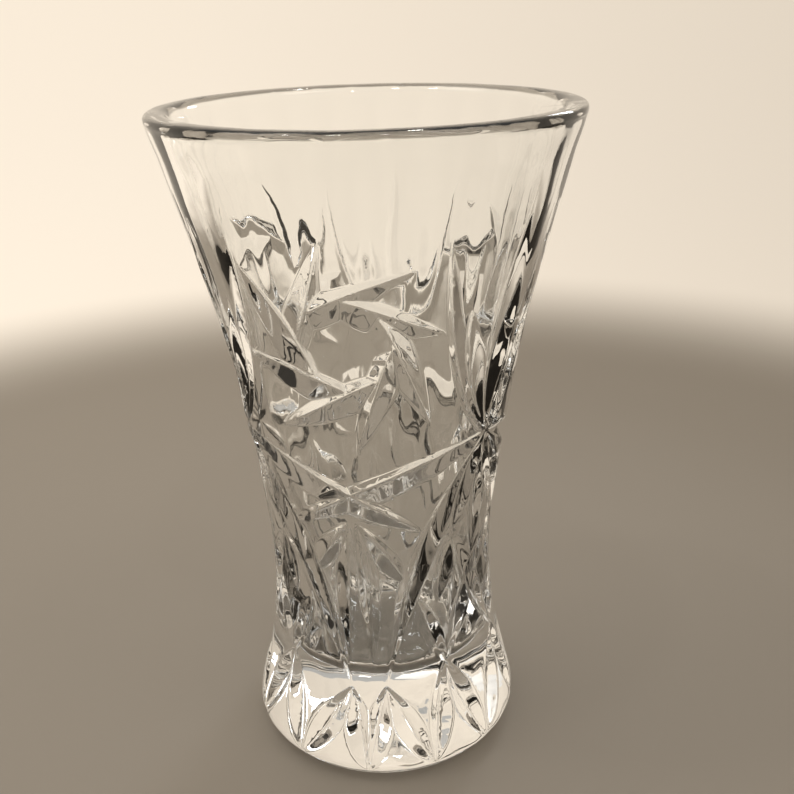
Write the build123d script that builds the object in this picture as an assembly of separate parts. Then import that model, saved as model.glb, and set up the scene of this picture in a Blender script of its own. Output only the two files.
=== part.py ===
"""Cut crystal vase: one flared piece of glass with a thick solid base, its pattern cut into the outside.

Millimetres, +Z up. The origin is on the table, under the centre of the foot. A place on the outside is given
by its turn, in degrees round the axis (0 faces -Y and a positive turn goes towards +X), and its height. The
pattern repeats three times round the vase: a pinwheel faces -Y, and a star of long rays stands half a repeat
to each side of it.
"""

import os
from math import cos, degrees, radians, sin, tan

from build123d import *

# Body
HEIGHT = 200.0
RIM_RADIUS = 60.9
RIM_WALL = 7.2
OUTER_LIP_ROUNDING = 2.2
INNER_LIP_ROUNDING = 2.6
BASE_RADIUS = 38.8
BASE_BEVEL = 0.7
FLOOR_HEIGHT = 27.0  # the glass under the cavity is solid
FLOOR_RADIUS = 25.0
FLOOR_ROUNDING = 9.0

# Outside of the wall as (radius, height): the foot, the waist and the flare
OUTSIDE = [
    (41.9, 4.0),
    (42.7, 11.0),
    (39.6, 24.0),
    (35.5, 48.0),
    (35.1, 62.0),
    (38.8, 100.0),
    (47.7, 150.0),
    (54.9, 176.0),
]
# Inside of the wall, from the floor to the rim
INSIDE = [(26.2, 48.0), (27.4, 66.0), (31.6, 100.0), (40.4, 150.0), (47.6, 176.0)]

# Pattern
REPEATS = 3
REPEAT_TURN = 360.0 / REPEATS
STAR_TURN = REPEAT_TURN / 2
STAR_HEIGHT = 112.0

# Pinwheel: eight blades leave the sides of an octagon and all lean the same way
WHEEL_HEIGHT = 143.0
WHEEL_BLADES = 8
WHEEL_FIRST_DIRECTION = 25.0
WHEEL_APOTHEM = 12.7
WHEEL_CORNER_OVERRUN = 3.2
BLADE_REACHES = (28.2, 24.5, 32.3, 29.7, 32.1, 27.4, 34.0, 32.2)  # from the middle of the octagon's side
BLADE_LEAD = 0.6  # under 1 puts the deepest place nearer the octagon
RAY_LEAD = 0.62  # the same for the rays of a star

# Flutes: shallow flats on the flare that fade out downward and end just under the rim
FLUTES = 24
FLUTE_BOTTOM = 146.0
FLUTE_FULL = (172.0, 187.0)
FLUTE_TOP = 198.0
FLUTE_DEPTH = 0.85
FLUTE_HALF_WIDTH = 9.0
FLUTE_STEPS = 14
FLUTE_LEAVE = 0.03  # how far outside the wall the cutter's curve starts and ends

# Mitre cuts
CUT_REACH = 6.5  # from the crease to the open side of the cutter, out of the glass
CUT_SECTIONS = 7
END_OVERRUN = 0.04  # how far the cutter goes on past each end, as a share of the cut's length


def outside_edge():
    """The curve of the wall's outside, from the base bevel to the rim."""
    points = [(BASE_RADIUS, BASE_BEVEL), *OUTSIDE, (RIM_RADIUS, HEIGHT)]
    return Edge.make_spline([Vector(radius, 0, height) for radius, height in points])


def inside_edge():
    """The curve of the wall's inside, from the floor to the rim."""
    points = [(FLOOR_RADIUS, FLOOR_HEIGHT), *INSIDE, (RIM_RADIUS - RIM_WALL, HEIGHT)]
    return Edge.make_spline([Vector(radius, 0, height) for radius, height in points])


WALL_OUTSIDE = outside_edge()


def radius_at(height):
    """Radius of the wall's outside at a height, by halving the curve's parameter range."""
    low, high = 0.0, 1.0
    for _ in range(40):
        middle = (low + high) / 2
        if (WALL_OUTSIDE @ middle).Z < height:
            low = middle
        else:
            high = middle
    return (WALL_OUTSIDE @ low).X


def on_wall(turn, height, depth=0.0):
    """The point at this turn and height, this deep under the wall's outside."""
    radius = radius_at(height) - depth
    angle = radians(turn)
    return Vector(radius * sin(angle), -radius * cos(angle), height)


def wall_slope(height):
    """How fast the wall's radius grows with height."""
    step = 0.5
    return (radius_at(height + step) - radius_at(height - step)) / (2 * step)


def outward_at(turn, height):
    """Unit vector square to the wall, out of the glass."""
    angle = radians(turn)
    return Vector(sin(angle), -cos(angle), -wall_slope(height)).normalized()


def cut_section(place, tangent, width, depth, local_depth):
    """The V of a cut where its crease is local_depth under the wall: a closed wire, open out of the glass."""
    outward = outward_at(*place)
    side = tangent.cross(outward).normalized() * (CUT_REACH * width / 2 / depth)
    crease = on_wall(*place) - outward * local_depth
    mouth = crease + outward * CUT_REACH
    return Wire.make_polygon([crease, mouth + side, mouth - side], close=True)


def wall_cut(start, end, width, depth, middle=None, lead=1.0):
    """The glass that one mitre cut takes away.

    The cut is a lens with pointed ends. Its crease leaves the wall's outside at start and end, and at its
    deepest place it is depth under it, where the V is width across. That place is half way, or nearer the
    start with a lead under 1. The crease passes under middle, or runs straight if no middle is given.
    """
    if middle is None:
        middle = ((start[0] + end[0]) / 2, (start[1] + end[1]) / 2)

    def place(share):
        shares = ((1 - share) * (1 - 2 * share), 4 * share * (1 - share), share * (2 * share - 1))
        return tuple(sum(s * p[i] for s, p in zip(shares, (start, middle, end))) for i in (0, 1))

    wires = []
    for number in range(CUT_SECTIONS):
        share = number / (CUT_SECTIONS - 1) * (1 + 2 * END_OVERRUN) - END_OVERRUN
        tangent = on_wall(*place(share + 0.01)) - on_wall(*place(share - 0.01))
        led = share**lead if share > 0 else share
        wires.append(cut_section(place(share), tangent, width, depth, 4 * depth * led * (1 - led)))
    return Solid.make_loft(wires)


def eased(height, start, end):
    """0 up to start and 1 from end on, with a smooth change between them. The end may lie under the start."""
    share = min(max((height - start) / (end - start), 0.0), 1.0)
    return share * share * (3 - 2 * share)


def flute_cutter():
    """The glass that one shallow flat takes away on the +X side: flat from side to side."""
    rise = (FLUTE_TOP - FLUTE_BOTTOM) / FLUTE_STEPS
    deepest = []
    for number in range(FLUTE_STEPS + 1):
        height = FLUTE_BOTTOM + number * rise
        share = eased(height, FLUTE_BOTTOM, FLUTE_FULL[0]) * eased(height, FLUTE_TOP, FLUTE_FULL[1])
        deepest.append(Vector(radius_at(height) - FLUTE_DEPTH * share + FLUTE_LEAVE, 0, height))
    curve = Edge.make_spline(deepest)
    out = Vector(CUT_REACH, 0, 0)
    above = Edge.make_line(deepest[-1], deepest[-1] + out)
    beside = Edge.make_line(deepest[-1] + out, deepest[0] + out)
    below = Edge.make_line(deepest[0] + out, deepest[0])
    return extrude(Face(Wire([curve, above, beside, below])), FLUTE_HALF_WIDTH, dir=(0, 1, 0), both=True)


def pinwheel_cuts():
    """Eight blades round an octagonal button."""
    degrees_per_mm = degrees(1 / radius_at(WHEEL_HEIGHT))
    half_side = WHEEL_APOTHEM * tan(radians(180 / WHEEL_BLADES))
    cuts = []
    for blade, reach in enumerate(BLADE_REACHES):
        direction = radians(WHEEL_FIRST_DIRECTION - blade * 360 / WHEEL_BLADES)
        ends = []
        for run in (-half_side - WHEEL_CORNER_OVERRUN, reach):
            sideways = -WHEEL_APOTHEM * sin(direction) + run * cos(direction)
            upward = WHEEL_APOTHEM * cos(direction) + run * sin(direction)
            ends.append((sideways * degrees_per_mm, WHEEL_HEIGHT + upward))
        cuts.append(wall_cut(*ends, width=9.4, depth=3.3, lead=BLADE_LEAD))
    return cuts


def crossing_cuts():
    """Two long cuts that fall from the stars and cross under the pinwheel, with petals in their crotch."""
    return [
        wall_cut((STAR_TURN, STAR_HEIGHT), (-34.7, 84.6), 9.0, 3.0, middle=(12.6, 101.2)),
        wall_cut((-STAR_TURN, STAR_HEIGHT), (31.7, 83.9), 9.0, 3.0, middle=(-14.1, 99.7)),
        wall_cut((-3.5, 89.5), (-26.0, 68.5), 7.2, 2.4),
        wall_cut((-0.8, 89.2), (21.8, 67.2), 7.2, 2.4),
        wall_cut((-3.2, 89.0), (-6.5, 40.0), 7.0, 2.5, middle=(-7.0, 66.0)),
        wall_cut((-0.8, 89.0), (4.5, 40.0), 7.0, 2.5, middle=(3.5, 66.0)),
    ]


def star_cuts():
    """The star between two pinwheels: rays up towards the rim, petals down, and the long cuts to the foot."""
    axis = STAR_TURN
    star = (axis, STAR_HEIGHT)
    cuts = [
        wall_cut((axis, 114.0), (axis, 193.0), 11.0, 2.6, lead=RAY_LEAD),
        wall_cut((axis, 105.0), (axis, 70.0), 7.6, 2.3),
        wall_cut(star, (axis - 49.8, 32.5), 8.0, 3.0, middle=(axis - 29.5, 76.5)),
        wall_cut(star, (axis + 54.8, 31.8), 8.0, 3.0, middle=(axis + 30.5, 76.5)),
    ]
    for side in (-1, 1):
        ray_end = (axis + side * 29.0, 190.0)
        cuts += [
            wall_cut(star, ray_end, 6.2, 2.4, middle=(axis + side * 20.5, 141.0), lead=RAY_LEAD),
            wall_cut(star, (axis + side * 17.5, 153.0), 7.4, 2.5, middle=(axis + side * 11.0, 132.0)),
            wall_cut(star, (axis + side * 15.5, 82.0), 7.2, 2.4),
            wall_cut((axis - side * 19.5, 37.0), (axis + side * 15.0, 80.0), 7.4, 2.6),
            wall_cut((axis + side * 19.5, 37.0), (axis + side * 32.5, 61.0), 6.6, 2.2),
            wall_cut((axis + side * 15.0, 80.5), (axis + side * 22.0, 58.0), 6.6, 2.2),
        ]
    return cuts


def foot_cuts():
    """Zigzag of broad cuts round the foot, from the nodes above it to points near the table."""
    tops = ((-40.0, 38.5), (-5.2, 32.5), (10.4, 33.0), (40.5, 37.5), (80.0, 38.5))
    bottoms = ((-29.5, 4.5), (1.7, 3.5), (30.5, 4.5), (58.0, 5.0))
    cuts = []
    for number, bottom in enumerate(bottoms):
        cuts += [wall_cut(tops[number], bottom, 9.2, 3.0), wall_cut(tops[number + 1], bottom, 9.2, 3.0)]
    return cuts


def flute_cuts():
    """Shallow flats round the flare."""
    cutter = flute_cutter()
    return [cutter.rotate(Axis.Z, flute * 360 / FLUTES - 90) for flute in range(FLUTES)]


def rings_at(body, height):
    """The body's round edges at a height, the smallest first."""
    rings = body.edges().filter_by(GeomType.CIRCLE)
    rings = rings.filter_by(lambda edge: abs(edge.center().Z - height) < 0.1)
    return rings.sort_by(SortBy.RADIUS)


def vase_blank():
    """The uncut body, turned from one section."""
    floor_line = Edge.make_line((0, 0, FLOOR_HEIGHT), (FLOOR_RADIUS, 0, FLOOR_HEIGHT))
    base_line = Edge.make_line((0, 0, 0), (BASE_RADIUS - BASE_BEVEL, 0, 0))
    bevel = Edge.make_line((BASE_RADIUS - BASE_BEVEL, 0, 0), (BASE_RADIUS, 0, BASE_BEVEL))
    lip = Edge.make_line((RIM_RADIUS, 0, HEIGHT), (RIM_RADIUS - RIM_WALL, 0, HEIGHT))
    centre_line = Edge.make_line((0, 0, 0), (0, 0, FLOOR_HEIGHT))
    section = Face(Wire([base_line, bevel, WALL_OUTSIDE, lip, inside_edge(), floor_line, centre_line]))
    body = revolve(section, Axis.Z)
    body = fillet(rings_at(body, HEIGHT)[-1:], OUTER_LIP_ROUNDING)
    body = fillet(rings_at(body, HEIGHT)[:1], INNER_LIP_ROUNDING)
    return fillet(rings_at(body, FLOOR_HEIGHT), FLOOR_ROUNDING)


def vase_body():
    """The blank with every cut taken, one after the other as they are ground."""
    pattern = pinwheel_cuts() + crossing_cuts() + star_cuts() + foot_cuts()
    body = vase_blank()
    for repeat in range(REPEATS):
        for cut in pattern:
            body = body.cut(cut.rotate(Axis.Z, repeat * REPEAT_TURN))
    for cut in flute_cuts():
        body = body.cut(cut)
    return body


os.makedirs("parts", exist_ok=True)
export_step(vase_body(), "parts/vase_body.step")
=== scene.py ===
import math

import bpy
import numpy as np
from mathutils import Matrix, Vector


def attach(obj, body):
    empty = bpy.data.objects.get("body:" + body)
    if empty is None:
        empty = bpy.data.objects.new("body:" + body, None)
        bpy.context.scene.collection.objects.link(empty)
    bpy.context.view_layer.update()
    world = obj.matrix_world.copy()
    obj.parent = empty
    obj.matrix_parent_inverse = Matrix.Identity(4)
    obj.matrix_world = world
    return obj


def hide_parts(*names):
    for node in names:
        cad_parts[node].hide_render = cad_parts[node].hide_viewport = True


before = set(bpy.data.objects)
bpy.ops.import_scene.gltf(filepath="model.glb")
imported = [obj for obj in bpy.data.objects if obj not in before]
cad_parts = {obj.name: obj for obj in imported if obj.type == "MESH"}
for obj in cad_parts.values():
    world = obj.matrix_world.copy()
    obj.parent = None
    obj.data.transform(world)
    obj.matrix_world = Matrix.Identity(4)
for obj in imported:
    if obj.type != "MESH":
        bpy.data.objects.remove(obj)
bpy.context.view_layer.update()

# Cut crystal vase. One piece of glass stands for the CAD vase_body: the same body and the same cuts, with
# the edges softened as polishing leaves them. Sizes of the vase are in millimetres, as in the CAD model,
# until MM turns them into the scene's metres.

MM = 0.001

# Body
HEIGHT = 200.0
RIM_RADIUS = 60.9
RIM_WALL = 7.2
BASE_RADIUS = 38.8
BASE_BEVEL = 0.7
FLOOR_HEIGHT = 27.0
FLOOR_RADIUS = 25.0
OUTSIDE_HEIGHTS = (BASE_BEVEL, 4.0, 11.0, 24.0, 48.0, 62.0, 100.0, 150.0, 176.0, HEIGHT)
OUTSIDE_RADII = (BASE_RADIUS, 41.9, 42.7, 39.6, 35.5, 35.1, 38.8, 47.7, 54.9, RIM_RADIUS)
INSIDE_HEIGHTS = (FLOOR_HEIGHT, 48.0, 66.0, 100.0, 150.0, 176.0, HEIGHT)
INSIDE_RADII = (FLOOR_RADIUS, 26.2, 27.4, 31.6, 40.4, 47.6, RIM_RADIUS - RIM_WALL)

# Pattern
REPEATS = 3
STAR_TURN = 60.0
STAR_HEIGHT = 112.0
WHEEL_HEIGHT = 143.0
WHEEL_BLADES = 8
WHEEL_FIRST_DIRECTION = 25.0
WHEEL_APOTHEM = 12.7
WHEEL_CORNER_OVERRUN = 3.2
BLADE_REACHES = (28.2, 24.5, 32.3, 29.7, 32.1, 27.4, 34.0, 32.2)
BLADE_LEAD = 0.6
RAY_LEAD = 0.62
FLUTES = 24
FLUTE_BOTTOM = 146.0
FLUTE_FULL = (172.0, 187.0)
FLUTE_TOP = 198.0
FLUTE_DEPTH = 0.85

# Polish
ARRIS_SOFTNESS = 0.13  # larger rounds the ridges between cuts more
CREASE_SOFTNESS = 0.14  # the same for the bottom of a cut
RIDGE_SOFTNESS = 0.2  # the same for the ridge between two flutes

# Mesh
CUT_MARGIN = 7.0  # how far from its crease line a cut is worked out
COLUMNS = 720
WALL_ROWS = 500
KEPT_FACES = 0.21  # the share of the fine mesh's faces that the thinned one keeps
OUTER_RIPPLE = 0.035  # unevenness of the whole surface
INNER_RIPPLE = 0.05  # what the inside has on top of it


def spline(knots, values):
    """A smooth function through the knots: a natural cubic spline."""
    x = np.array(knots)
    y = np.array(values)
    gap = np.diff(x)
    count = len(x)
    matrix = np.eye(count)
    right = np.zeros(count)
    for i in range(1, count - 1):
        matrix[i, i - 1 : i + 2] = gap[i - 1], 2 * (gap[i - 1] + gap[i]), gap[i]
        right[i] = 6 * ((y[i + 1] - y[i]) / gap[i] - (y[i] - y[i - 1]) / gap[i - 1])
    bend = np.linalg.solve(matrix, right)

    def value(at):
        at = np.asarray(at, float)
        i = np.clip(np.searchsorted(x, at) - 1, 0, count - 2)
        low = at - x[i]
        high = x[i + 1] - at
        cubic = (bend[i] * high**3 + bend[i + 1] * low**3) / (6 * gap[i])
        from_below = (y[i] / gap[i] - bend[i] * gap[i] / 6) * high
        from_above = (y[i + 1] / gap[i] - bend[i + 1] * gap[i] / 6) * low
        return cubic + from_below + from_above

    return value


outside_radius = spline(OUTSIDE_HEIGHTS, OUTSIDE_RADII)
inside_radius = spline(INSIDE_HEIGHTS, INSIDE_RADII)


def eased(height, start, end):
    """0 up to start and 1 from end on, with a smooth change between. The end may lie under the start."""
    share = np.clip((np.asarray(height, float) - start) / (end - start), 0, 1)
    return share * share * (3 - 2 * share)


def on_wall(turn, height):
    """Points on the outside at a turn in degrees (0 faces -Y) and a height."""
    radius = outside_radius(height)
    angle = np.radians(turn)
    up = np.broadcast_to(height, np.shape(radius * angle))
    return np.stack([radius * np.sin(angle), -radius * np.cos(angle), up], -1)


# ---- The cuts of one repeat ----
# Each is (start, end, width, depth, middle, lead), with places as (turn, height). A cut passes under its
# middle, or runs straight if that is None. A lead under 1 makes it deepest nearer its start.


def pinwheel_cuts():
    """Eight blades that leave the sides of an octagon and all lean the same way."""
    degrees_per_mm = math.degrees(1 / float(outside_radius(WHEEL_HEIGHT)))
    half_side = WHEEL_APOTHEM * math.tan(math.pi / WHEEL_BLADES)
    cuts = []
    for blade, reach in enumerate(BLADE_REACHES):
        direction = math.radians(WHEEL_FIRST_DIRECTION - blade * 360 / WHEEL_BLADES)
        ends = []
        for run in (-half_side - WHEEL_CORNER_OVERRUN, reach):
            sideways = -WHEEL_APOTHEM * math.sin(direction) + run * math.cos(direction)
            upward = WHEEL_APOTHEM * math.cos(direction) + run * math.sin(direction)
            ends.append((sideways * degrees_per_mm, WHEEL_HEIGHT + upward))
        cuts.append((ends[0], ends[1], 9.4, 3.3, None, BLADE_LEAD))
    return cuts


def crossing_cuts():
    """Two long cuts that cross under the pinwheel, with a fan of petals in their crotch."""
    return [
        ((STAR_TURN, STAR_HEIGHT), (-34.7, 84.6), 9.0, 3.0, (12.6, 101.2), 1.0),
        ((-STAR_TURN, STAR_HEIGHT), (31.7, 83.9), 9.0, 3.0, (-14.1, 99.7), 1.0),
        ((-3.5, 89.5), (-26.0, 68.5), 7.2, 2.4, None, 1.0),
        ((-0.8, 89.2), (21.8, 67.2), 7.2, 2.4, None, 1.0),
        ((-3.2, 89.0), (-6.5, 40.0), 7.0, 2.5, (-7.0, 66.0), 1.0),
        ((-0.8, 89.0), (4.5, 40.0), 7.0, 2.5, (3.5, 66.0), 1.0),
    ]


def star_cuts():
    """The star between two pinwheels: rays up, petals down, and the long cuts to the foot."""
    axis = STAR_TURN
    star = (axis, STAR_HEIGHT)
    cuts = [
        ((axis, 114.0), (axis, 193.0), 11.0, 2.6, None, RAY_LEAD),
        ((axis, 105.0), (axis, 70.0), 7.6, 2.3, None, 1.0),
        (star, (axis - 49.8, 32.5), 8.0, 3.0, (axis - 29.5, 76.5), 1.0),
        (star, (axis + 54.8, 31.8), 8.0, 3.0, (axis + 30.5, 76.5), 1.0),
    ]
    for side in (-1, 1):
        cuts += [
            (star, (axis + side * 29.0, 190.0), 6.2, 2.4, (axis + side * 20.5, 141.0), RAY_LEAD),
            (star, (axis + side * 17.5, 153.0), 7.4, 2.5, (axis + side * 11.0, 132.0), 1.0),
            (star, (axis + side * 15.5, 82.0), 7.2, 2.4, None, 1.0),
            ((axis - side * 19.5, 37.0), (axis + side * 15.0, 80.0), 7.4, 2.6, None, 1.0),
            ((axis + side * 19.5, 37.0), (axis + side * 32.5, 61.0), 6.6, 2.2, None, 1.0),
            ((axis + side * 15.0, 80.5), (axis + side * 22.0, 58.0), 6.6, 2.2, None, 1.0),
        ]
    return cuts


def foot_cuts():
    """Zigzag of broad cuts round the foot, from the nodes above it to points near the table."""
    tops = ((-40.0, 38.5), (-5.2, 32.5), (10.4, 33.0), (40.5, 37.5), (80.0, 38.5))
    bottoms = ((-29.5, 4.5), (1.7, 3.5), (30.5, 4.5), (58.0, 5.0))
    cuts = []
    for number, bottom in enumerate(bottoms):
        for top in tops[number : number + 2]:
            cuts.append((top, bottom, 9.2, 3.0, None, 1.0))
    return cuts


# ---- How deep the pattern lies under the outside, over the whole wall ----


def cut_path(start, end, middle, samples=36):
    """Points along a cut's crease line, on the outside of the wall, and each one's share of the way."""
    if middle is None:
        middle = ((start[0] + end[0]) / 2, (start[1] + end[1]) / 2)
    share = np.linspace(0, 1, samples)
    weights = ((1 - share) * (1 - 2 * share), 4 * share * (1 - share), share * (2 * share - 1))
    turn = sum(w * place[0] for w, place in zip(weights, (start, middle, end)))
    height = sum(w * place[1] for w, place in zip(weights, (start, middle, end)))
    return turn, height, on_wall(turn, height)


def nearest_on_path(points, path):
    """Each point's distance from the path, and the share of the way along it where it is nearest."""
    best = np.full(len(points), np.inf)
    share = np.zeros(len(points))
    runs = len(path) - 1
    for i in range(runs):
        run = path[i + 1] - path[i]
        offset = points - path[i]
        along = np.clip(offset @ run / (run @ run), 0, 1)
        distance = ((offset - along[:, None] * run) ** 2).sum(1)
        closer = distance < best
        best = np.where(closer, distance, best)
        share = np.where(closer, (i + along) / runs, share)
    return np.sqrt(best), share


def pattern_depth(heights):
    """Depth of the pattern under the plain outside, by row of height and column of turn.

    Each cut alone would leave the depth g. The soft maximum of them all, and of 0 for the uncut wall, rounds
    every arris.
    """
    step = 360 / COLUMNS
    total = np.ones((len(heights), COLUMNS))
    turn_margin = math.degrees(CUT_MARGIN / min(OUTSIDE_RADII[1:]))
    cuts = pinwheel_cuts() + crossing_cuts() + star_cuts() + foot_cuts()
    for start, end, width, depth, middle, lead in cuts:
        turns, path_heights, path = cut_path(start, end, middle)
        first = math.floor((turns.min() - turn_margin) / step)
        last = math.ceil((turns.max() + turn_margin) / step)
        columns = np.arange(first, last + 1)
        above = heights > path_heights.min() - CUT_MARGIN
        below = heights < path_heights.max() + CUT_MARGIN
        rows = np.where(above & below)[0]
        turn_grid, height_grid = np.meshgrid(columns * step, heights[rows])
        aside, share = nearest_on_path(on_wall(turn_grid, height_grid).reshape(-1, 3), path)
        slope = 2 * depth / width
        led = share**lead
        g = 4 * depth * led * (1 - led) - slope * np.hypot(aside, CREASE_SOFTNESS)
        lift = np.exp(g / ARRIS_SOFTNESS).reshape(turn_grid.shape)
        for repeat in range(REPEATS):
            total[np.ix_(rows, (columns + repeat * COLUMNS // REPEATS) % COLUMNS)] += lift

    turn = np.arange(COLUMNS) * step
    flute_step = 360 / FLUTES
    aside = (turn + flute_step / 2) % flute_step - flute_step / 2
    radius = outside_radius(heights)[:, None]
    fluted = FLUTE_DEPTH * eased(heights, FLUTE_BOTTOM, FLUTE_FULL[0])
    fluted *= eased(heights, FLUTE_TOP, FLUTE_FULL[1])
    flats = np.zeros_like(total)
    for neighbour in (-flute_step, 0, flute_step):
        off_centre = radius * np.radians(aside + neighbour)[None, :]
        g = fluted[:, None] - off_centre**2 / (2 * radius)
        flats += np.exp(np.maximum(g, -9) / RIDGE_SOFTNESS)
    total += np.exp(RIDGE_SOFTNESS * np.log(flats + 1) / ARRIS_SOFTNESS) - 1
    return ARRIS_SOFTNESS * np.log(total)


def ripple(seed, rows, waves, amplitude):
    """A gentle unevenness that closes round the vase, by row and column: a sum of waves."""
    rng = np.random.default_rng(seed)
    turn = np.linspace(0, 2 * np.pi, COLUMNS, endpoint=False)[None, :]
    total = np.zeros((len(rows), COLUMNS))
    for _ in range(waves):
        around = rng.integers(2, 26)
        up = rng.uniform(-0.25, 0.25)
        phase = rng.uniform(0, 2 * np.pi)
        total += np.sin(around * turn + up * rows[:, None] + phase)
    return amplitude * total / math.sqrt(waves)


# ---- The glass body ----


def corner(start, tip, end, samples):
    """Points of a rounded corner, from start to end, that a sharp one would put at tip."""
    t = np.linspace(0, 1, samples)[:, None]
    start, tip, end = (np.array(p, float) for p in (start, tip, end))
    return (1 - t) ** 2 * start + 2 * t * (1 - t) * tip + t**2 * end


def vase_rings():
    """Rings of vertices (ring, column, xyz), from the base's middle over the lip to the cavity's floor."""
    lip_start = HEIGHT - 2.4
    lip_inside = HEIGHT - 3.0
    base = [(6.0, 0.0), (16.0, 0.0), (26.0, 0.0), (33.0, 0.0), (BASE_RADIUS - 1.6, 0.0)]
    bevel_top = BASE_BEVEL + 0.6
    bevel = corner(
        (BASE_RADIUS - 1.2, 0.0),
        (BASE_RADIUS - 0.25, 0.05),
        (float(outside_radius(bevel_top)), bevel_top),
        6,
    )
    wall_heights = np.linspace(BASE_BEVEL + 0.9, lip_start - 0.2, WALL_ROWS)
    wall = np.stack([outside_radius(wall_heights), wall_heights], 1)
    outer_lip = corner(
        (float(outside_radius(lip_start)), lip_start),
        (RIM_RADIUS, HEIGHT),
        (RIM_RADIUS - 2.9, HEIGHT),
        12,
    )
    inner_lip = corner(
        (RIM_RADIUS - RIM_WALL + 3.0, HEIGHT),
        (RIM_RADIUS - RIM_WALL + 0.1, HEIGHT),
        (float(inside_radius(lip_inside)), lip_inside),
        12,
    )
    inner_heights = np.linspace(lip_inside - 1.0, FLOOR_HEIGHT + 12.0, 80)
    inner = np.stack([inside_radius(inner_heights), inner_heights], 1)
    floor_turn = corner(
        (float(inside_radius(FLOOR_HEIGHT + 10.0)), FLOOR_HEIGHT + 10.0),
        (FLOOR_RADIUS, FLOOR_HEIGHT),
        (FLOOR_RADIUS - 12.0, FLOOR_HEIGHT),
        14,
    )
    floor = [(9.0, FLOOR_HEIGHT), (4.0, FLOOR_HEIGHT)]
    section = np.concatenate([base, bevel, wall, outer_lip, inner_lip, inner, floor_turn, floor])

    inward = np.zeros((len(section), COLUMNS))
    first = len(base) + len(bevel)
    last = first + WALL_ROWS
    fade = np.clip((wall_heights - wall_heights[0]) / 2, 0, 1)[:, None]
    inward[first:last] = pattern_depth(wall_heights) * fade
    way = np.concatenate([[0], np.cumsum(np.hypot(*np.diff(section, axis=0).T))])
    calm = np.clip((section[:, 1] - 0.5) / 8, 0, 1)[:, None]
    inward += ripple(7, way, 14, OUTER_RIPPLE) * calm
    inside = last + len(outer_lip) + len(inner_lip)
    inward[inside:] += ripple(11, way[inside:], 10, INNER_RIPPLE)

    tangent = np.gradient(section, axis=0)
    tangent /= np.linalg.norm(tangent, axis=1)[:, None]
    # the section runs outward, up and back in, so its outward side is on the right of the way it goes
    radius = section[:, 0:1] - tangent[:, 1:2] * inward
    height = section[:, 1:2] + tangent[:, 0:1] * inward
    turn = np.linspace(0, 2 * np.pi, COLUMNS, endpoint=False)[None, :]
    return np.stack([radius * np.sin(turn), -radius * np.cos(turn), height], -1)


def closed_mesh(name, rings):
    """A closed mesh over the rings, with a point in the middle of the first and of the last."""
    ring_count, columns, _ = rings.shape
    points = rings.reshape(-1, 3)
    ends = np.array([[0, 0, rings[0, :, 2].mean()], [0, 0, rings[-1, :, 2].mean()]])
    index = np.arange(ring_count * columns).reshape(ring_count, columns)
    beside = np.roll(index, -1, axis=1)
    quads = np.stack([index[:-1], beside[:-1], beside[1:], index[1:]], -1).reshape(-1, 4)
    bottom = [(len(points), b, a) for a, b in zip(index[0], beside[0])]
    top = [(len(points) + 1, a, b) for a, b in zip(index[-1], beside[-1])]
    mesh = bpy.data.meshes.new(name)
    mesh.from_pydata((np.concatenate([points, ends]) * MM).tolist(), [], quads.tolist() + bottom + top)
    mesh.update()
    mesh.shade_smooth()
    return mesh


def linked(name, data):
    """A new object in the scene."""
    made = bpy.data.objects.new(name, data)
    bpy.context.scene.collection.objects.link(made)
    return made


def applied(made):
    """Replaces an object's mesh with the same mesh after its modifiers."""
    evaluated = made.evaluated_get(bpy.context.evaluated_depsgraph_get())
    mesh = bpy.data.meshes.new_from_object(evaluated)
    made.modifiers.clear()
    made.data = mesh


def crystal_body():
    """The glass, thinned to the faces that its shape needs, and shaded with the fine mesh's own normals."""
    fine = linked("fine_glass", closed_mesh("fine_glass", vase_rings()))
    glass = linked("crystal_vase", fine.data.copy())
    thin = glass.modifiers.new("thin", "DECIMATE")
    thin.ratio = KEPT_FACES
    applied(glass)
    glass.data.shade_smooth()
    normals = glass.modifiers.new("normals", "DATA_TRANSFER")
    normals.object = fine
    normals.use_loop_data = True
    normals.data_types_loops = {"CUSTOM_NORMAL"}
    normals.loop_mapping = "POLYINTERP_NEAREST"
    applied(glass)
    glass.data.name = "crystal_vase"
    bpy.data.objects.remove(fine)
    return glass


# ---- Materials ----

# Sockets of a Mix node that mixes colours
MIX_FACTOR = 0
MIX_FIRST = 6
MIX_SECOND = 7
MIX_RESULT = 2


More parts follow.
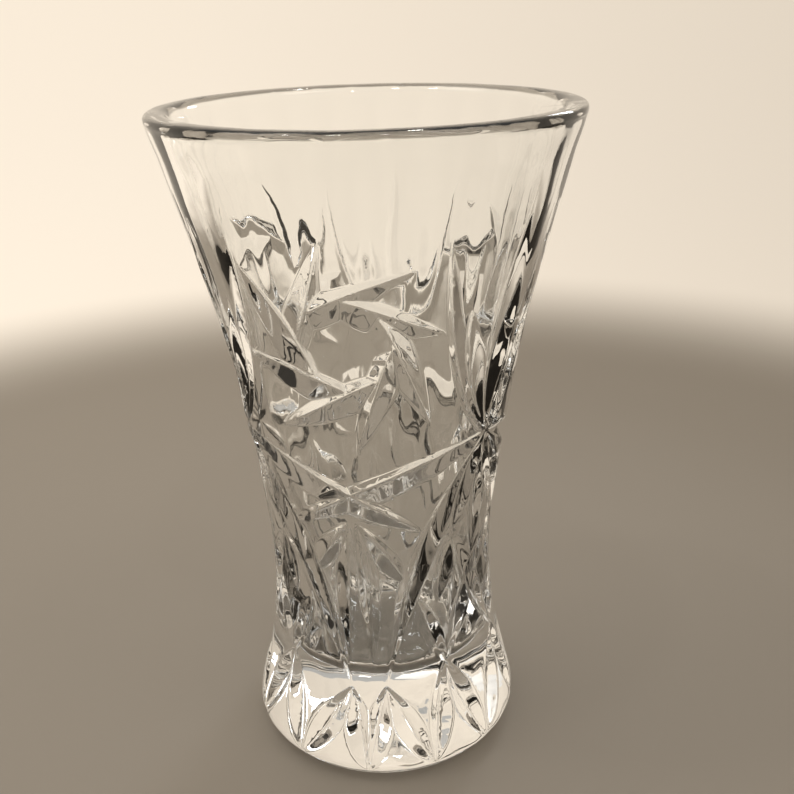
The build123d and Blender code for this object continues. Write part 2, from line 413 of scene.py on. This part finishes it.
def crystal_material():
    """Clear polished crystal: very slight waves in the polish, faint handling marks and almost no tint."""
    material = bpy.data.materials.new("clear_crystal")
    material.use_nodes = True
    nodes = material.node_tree.nodes
    links = material.node_tree.links
    shader = nodes["Principled BSDF"]
    shader.inputs["Base Color"].default_value = (0.985, 0.99, 0.985, 1)
    shader.inputs["IOR"].default_value = 1.54
    shader.inputs["Transmission Weight"].default_value = 1.0

    place = nodes.new("ShaderNodeTexCoord")
    marks = nodes.new("ShaderNodeTexNoise")
    marks.inputs["Scale"].default_value = 46
    marks.inputs["Detail"].default_value = 5
    roughness = nodes.new("ShaderNodeMapRange")
    roughness.inputs["From Min"].default_value = 0.5
    roughness.inputs["From Max"].default_value = 0.8
    roughness.inputs["To Min"].default_value = 0.0
    roughness.inputs["To Max"].default_value = 0.02
    waves = nodes.new("ShaderNodeTexNoise")
    waves.inputs["Scale"].default_value = 160
    waves.inputs["Detail"].default_value = 1
    bump = nodes.new("ShaderNodeBump")
    bump.inputs["Strength"].default_value = 0.12
    bump.inputs["Distance"].default_value = 0.0004
    links.new(place.outputs["Object"], marks.inputs["Vector"])
    links.new(marks.outputs["Fac"], roughness.inputs["Value"])
    links.new(roughness.outputs["Result"], shader.inputs["Roughness"])
    links.new(place.outputs["Object"], waves.inputs["Vector"])
    links.new(waves.outputs["Fac"], bump.inputs["Height"])
    links.new(bump.outputs["Normal"], shader.inputs["Normal"])
    return material


def plain_material(name, colour, roughness):
    """A matt surface with a faint unevenness of tone."""
    material = bpy.data.materials.new(name)
    material.use_nodes = True
    nodes = material.node_tree.nodes
    links = material.node_tree.links
    shader = nodes["Principled BSDF"]
    shader.inputs["Roughness"].default_value = roughness
    shader.inputs["Specular IOR Level"].default_value = 0.25
    noise = nodes.new("ShaderNodeTexNoise")
    noise.inputs["Scale"].default_value = 3
    tone = nodes.new("ShaderNodeMix")
    tone.data_type = "RGBA"
    tone.inputs[MIX_FIRST].default_value = (*colour, 1)
    tone.inputs[MIX_SECOND].default_value = (*(0.94 * c for c in colour), 1)
    links.new(noise.outputs["Fac"], tone.inputs[MIX_FACTOR])
    links.new(tone.outputs[MIX_RESULT], shader.inputs["Base Color"])
    return material


def lit_wall(material, colour, low, high, left, right):
    """Makes a material glow above a height, as a wall washed by lights does, and not at all below another.

    The glow fades from one strength on the left to another on the right: painted light for a wall that lamps
    light more strongly on the left.
    """
    nodes = material.node_tree.nodes
    links = material.node_tree.links
    shader = nodes["Principled BSDF"]
    shader.inputs["Emission Color"].default_value = (*colour, 1)
    place = nodes.new("ShaderNodeNewGeometry")
    split = nodes.new("ShaderNodeSeparateXYZ")
    across = nodes.new("ShaderNodeMapRange")
    across.interpolation_type = "SMOOTHSTEP"
    across.inputs["From Min"].default_value = GLOW_FADE[0]
    across.inputs["From Max"].default_value = GLOW_FADE[1]
    across.inputs["To Min"].default_value = left
    across.inputs["To Max"].default_value = right
    glow = nodes.new("ShaderNodeMapRange")
    glow.interpolation_type = "SMOOTHSTEP"
    glow.inputs["From Min"].default_value = low
    glow.inputs["From Max"].default_value = high
    links.new(place.outputs["Position"], split.inputs["Vector"])
    links.new(split.outputs["X"], across.inputs["Value"])
    links.new(split.outputs["Z"], glow.inputs["Value"])
    links.new(across.outputs["Result"], glow.inputs["To Max"])
    links.new(glow.outputs["Result"], shader.inputs["Emission Strength"])


# ---- Stage, light and camera ----

FLOOR_REACH = 0.3
WALL_REACH = 0.58
WALL_TOP = 0.7
AIR_GAP = 0.0004  # the floor lies this far under the vase, so that the base still mirrors what is above
FLOOR_COLOUR = (0.29, 0.262, 0.227)
GLOW_COLOUR = (0.86, 0.77, 0.65)
GLOW_HEIGHTS = (0.001, 0.03)  # the wall starts to glow at the first and glows fully from the second up
# painted light on the backdrop: the glow is stronger on the left, where lamps would light the wall more
GLOW_STRENGTHS = (0.85, 0.6)  # on the left and on the right
GLOW_FADE = (-0.45, 0.5)  # from one strength to the other between these places along X
LAMP_PLACES = ((-25, 72), (-62, 66), (24, 58), (175, 62))  # turn and elevation of each small lamp
CAMERA_TURN = 10.8
CAMERA_DISTANCE = 0.2851
CAMERA_HEIGHT = 0.2292
CAMERA_PITCH = 22.31
CAMERA_YAW = 1.25
CAMERA_ROLL = -1.55
CAMERA_LENS = 45.34


def stage():
    """A round floor of a middle tone that sweeps up into a glowing wall on all sides, for every view."""
    bend = corner((FLOOR_REACH, 0), (WALL_REACH, 0), (WALL_REACH, WALL_REACH - FLOOR_REACH), 24)
    section = [(0.1, 0.0), (0.2, 0.0), *map(tuple, bend), (WALL_REACH, WALL_TOP)]
    columns = 96
    turn = np.linspace(0, 2 * np.pi, columns, endpoint=False)
    vertices = [(0.0, 0.0, 0.0)]
    for radius, height in section:
        vertices += [(radius * math.sin(a), -radius * math.cos(a), height) for a in turn]
    faces = [(0, 1 + (i + 1) % columns, 1 + i) for i in range(columns)]
    for ring in range(len(section) - 1):
        start = 1 + ring * columns
        for i in range(columns):
            j = (i + 1) % columns
            faces.append((start + i, start + j, start + columns + j, start + columns + i))
    mesh = bpy.data.meshes.new("studio_sweep")
    mesh.from_pydata(vertices, [], faces)
    mesh.shade_smooth()
    sweep = linked("studio_sweep", mesh)
    sweep.location.z = -AIR_GAP
    sweep_material = plain_material("pale_sweep", FLOOR_COLOUR, 0.7)
    lit_wall(sweep_material, GLOW_COLOUR, *GLOW_HEIGHTS, *GLOW_STRENGTHS)
    mesh.materials.append(sweep_material)


def floor_light(name, x, y, height, size, power, colour, spread):
    """A soft light that hangs over a part of the floor and shines straight down."""
    light = bpy.data.lights.new(name, "AREA")
    light.size = size
    light.energy = power
    light.color = colour
    light.spread = math.radians(spread)
    linked(name, light).location = (x, y, height)


def softbox(name, turn, elevation, distance, width, height, power, colour, spread=180):
    """A rectangular soft light that faces the vase; a small spread keeps its light near the vase."""
    light = bpy.data.lights.new(name, "AREA")
    light.shape = "RECTANGLE"
    light.size = width
    light.size_y = height
    light.energy = power
    light.color = colour
    light.spread = math.radians(spread)
    lamp = linked(name, light)
    t = math.radians(turn)
    e = math.radians(elevation)
    middle = Vector((0, 0, 0.1))
    away = Vector((math.sin(t) * math.cos(e), -math.cos(t) * math.cos(e), math.sin(e)))
    lamp.location = middle + away * distance
    lamp.rotation_euler = away.to_track_quat("Z", "Y").to_euler()


def lights():
    """Two weak soft lights, a cool window behind, a pool of light on the floor, four small lamps for
    sparkle, and an even light from the room.
    """
    warm = (1.0, 0.93, 0.84)
    softbox("key", -75, 55, 1.0, 0.5, 0.5, 0.06, warm, 34)
    softbox("fill", 70, 60, 1.0, 0.4, 0.4, 0.04, warm, 34)
    softbox("window", 158, 32, 0.6, 0.14, 0.05, 0.06, (0.9, 0.95, 1.0), 60)
    floor_light("left_pool", -0.38, 0.27, 0.7, 0.5, 0.4, warm, 90)
    for number, (turn, elevation) in enumerate(LAMP_PLACES):
        softbox(f"lamp_{number + 1}", turn, elevation, 1.0, 0.05, 0.05, 0.35, (1.0, 0.97, 0.92))
    world = bpy.data.worlds.new("room")
    bpy.context.scene.world = world
    bpy.context.scene.view_settings.view_transform = "Standard"
    world.use_nodes = True
    world.node_tree.nodes["Background"].inputs["Color"].default_value = (0.5, 0.485, 0.455, 1)
    world.node_tree.nodes["Background"].inputs["Strength"].default_value = 1.0


def camera():
    """The camera stands a little above the rim and looks down."""
    data = bpy.data.cameras.new("camera")
    data.lens = CAMERA_LENS
    data.sensor_width = 36
    data.clip_start = 0.01
    made = linked("camera", data)
    turn = Matrix.Rotation(math.radians(CAMERA_TURN), 4, "Z")
    place = Matrix.Translation((0, -CAMERA_DISTANCE, CAMERA_HEIGHT))
    yaw = Matrix.Rotation(math.radians(-CAMERA_YAW), 4, "Z")
    pitch = Matrix.Rotation(math.radians(90 - CAMERA_PITCH), 4, "X")
    aim = yaw @ pitch
    roll = Matrix.Rotation(math.radians(CAMERA_ROLL), 4, "Z")
    made.matrix_world = turn @ place @ aim @ roll
    bpy.context.scene.camera = made


camera()
stage()
lights()
vase = crystal_body()
vase.data.materials.clear()
vase.data.materials.append(crystal_material())
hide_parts("vase_body")
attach(vase, "root")

bpy.context.view_layer.update()
